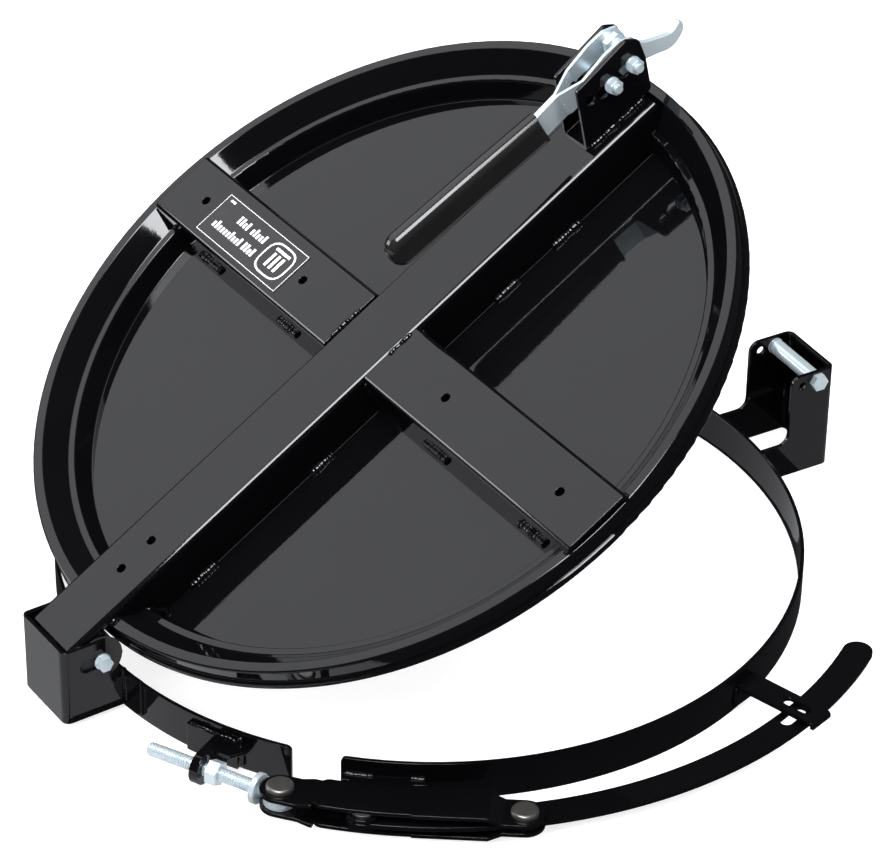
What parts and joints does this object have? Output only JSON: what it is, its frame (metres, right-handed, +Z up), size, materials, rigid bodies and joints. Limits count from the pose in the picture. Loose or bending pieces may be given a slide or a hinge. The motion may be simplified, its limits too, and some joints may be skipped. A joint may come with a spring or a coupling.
{
  "type": "latching drum lid with clamp band",
  "caption": "Hinged round steel drum lid with cross channels, hook latch with a gripped handle, hinge and catch brackets, and a lever-lock clamp band with an adjusting eye bolt.",
  "frame": {"origin": "centre of the clamp band's ring on its bottom plane", "axes": "+Z up along the drum's axis, hinge at -X, catch at +X"},
  "size_m": [0.7079, 0.6497, 0.428],
  "materials": {
    "black_powder_coat": "gloss black powder coat with slight orange peel",
    "zinc_plate": "bright zinc plating, bluish",
    "rivet_steel": "dull grey steel",
    "vinyl_grip": "dipped black vinyl, satin",
    "gasket_rubber": "black closed-cell rubber",
    "label_film": null
  },
  "bodies": {
    "ring": {"band_main": "black_powder_coat", "hinge_bracket": "black_powder_coat", "hinge_bolt": "zinc_plate", "hinge_nut": "zinc_plate", "hinge_washers": "zinc_plate", "catch_bracket": "black_powder_coat", "catch_bolt": "zinc_plate", "catch_nut": "zinc_plate", "catch_washers": "zinc_plate", "keeper_bracket": "black_powder_coat", "pivot_ear_top": "black_powder_coat", "pivot_ear_bottom": "black_powder_coat", "lever_pivot_rivet": "rivet_steel"},
    "lid": {"lid_pan": "black_powder_coat", "lid_gasket": "gasket_rubber", "long_channel": "black_powder_coat", "cross_arm_left": "black_powder_coat", "cross_arm_right": "black_powder_coat", "latch_bracket": "black_powder_coat", "latch_bolts": "zinc_plate", "latch_nuts": "zinc_plate", "latch_washers": "zinc_plate", "arm_label": "label_film"},
    "latch_handle": {"handle_half_left": "zinc_plate", "handle_half_right": "zinc_plate", "handle_grip": "vinyl_grip", "hook_plate": "zinc_plate", "cross_pin": "zinc_plate"},
    "roller": {"catch_roller": "zinc_plate"},
    "lever": {"clamp_lever": "black_powder_coat"},
    "band_end": {"band_end_a": "black_powder_coat", "bolt_lug": "black_powder_coat", "eye_bolt": "zinc_plate", "jam_nut": "zinc_plate"},
    "links": {"link_plate_top": "black_powder_coat", "link_plate_bottom": "black_powder_coat", "eye_rivet": "rivet_steel", "lever_rivet": "rivet_steel"}
  },
  "joints": [
    {"name": "lid_hinge", "type": "hinge", "parent": "ring", "child": "lid", "pos_m": [-0.3135, 0, 0.052], "axis": [0, -1, 0], "range_deg": [-30.5, 65]},
    {"name": "latch_lift", "type": "hinge", "parent": "lid", "child": "latch_handle", "pos_m": [0.16864, 0, 0.4068], "axis": [0, 1, 0], "range_deg": [0, 35]},
    {"name": "roller_spin", "type": "hinge", "parent": "ring", "child": "roller", "pos_m": [0.34266, -0.02396, 0.085], "axis": [0.0698, 0.9976, 0], "continuous": true},
    {"name": "lever_swing", "type": "hinge", "parent": "ring", "child": "lever", "pos_m": [-0.22362, -0.25011, 0.0135], "axis": [0, 0, -1], "range_deg": [0, 60]},
    {"name": "band_spring", "type": "hinge", "parent": "ring", "child": "band_end", "pos_m": [-0.29025, -0.05275, 0.016], "axis": [0, 0, -1], "range_deg": [0, 14.54]},
    {"name": "link_turn", "type": "hinge", "parent": "band_end", "child": "links", "pos_m": [-0.26193, -0.19809, 0.0135], "axis": [0, 0, 1], "range_deg": [-12.25, 0]}
  ],
  "couplings": [
    {"joint": "band_spring", "follows": "lever_swing", "ratio": 0.24237},
    {"joint": "link_turn", "follows": "lever_swing", "ratio": -0.20416}
  ]
}
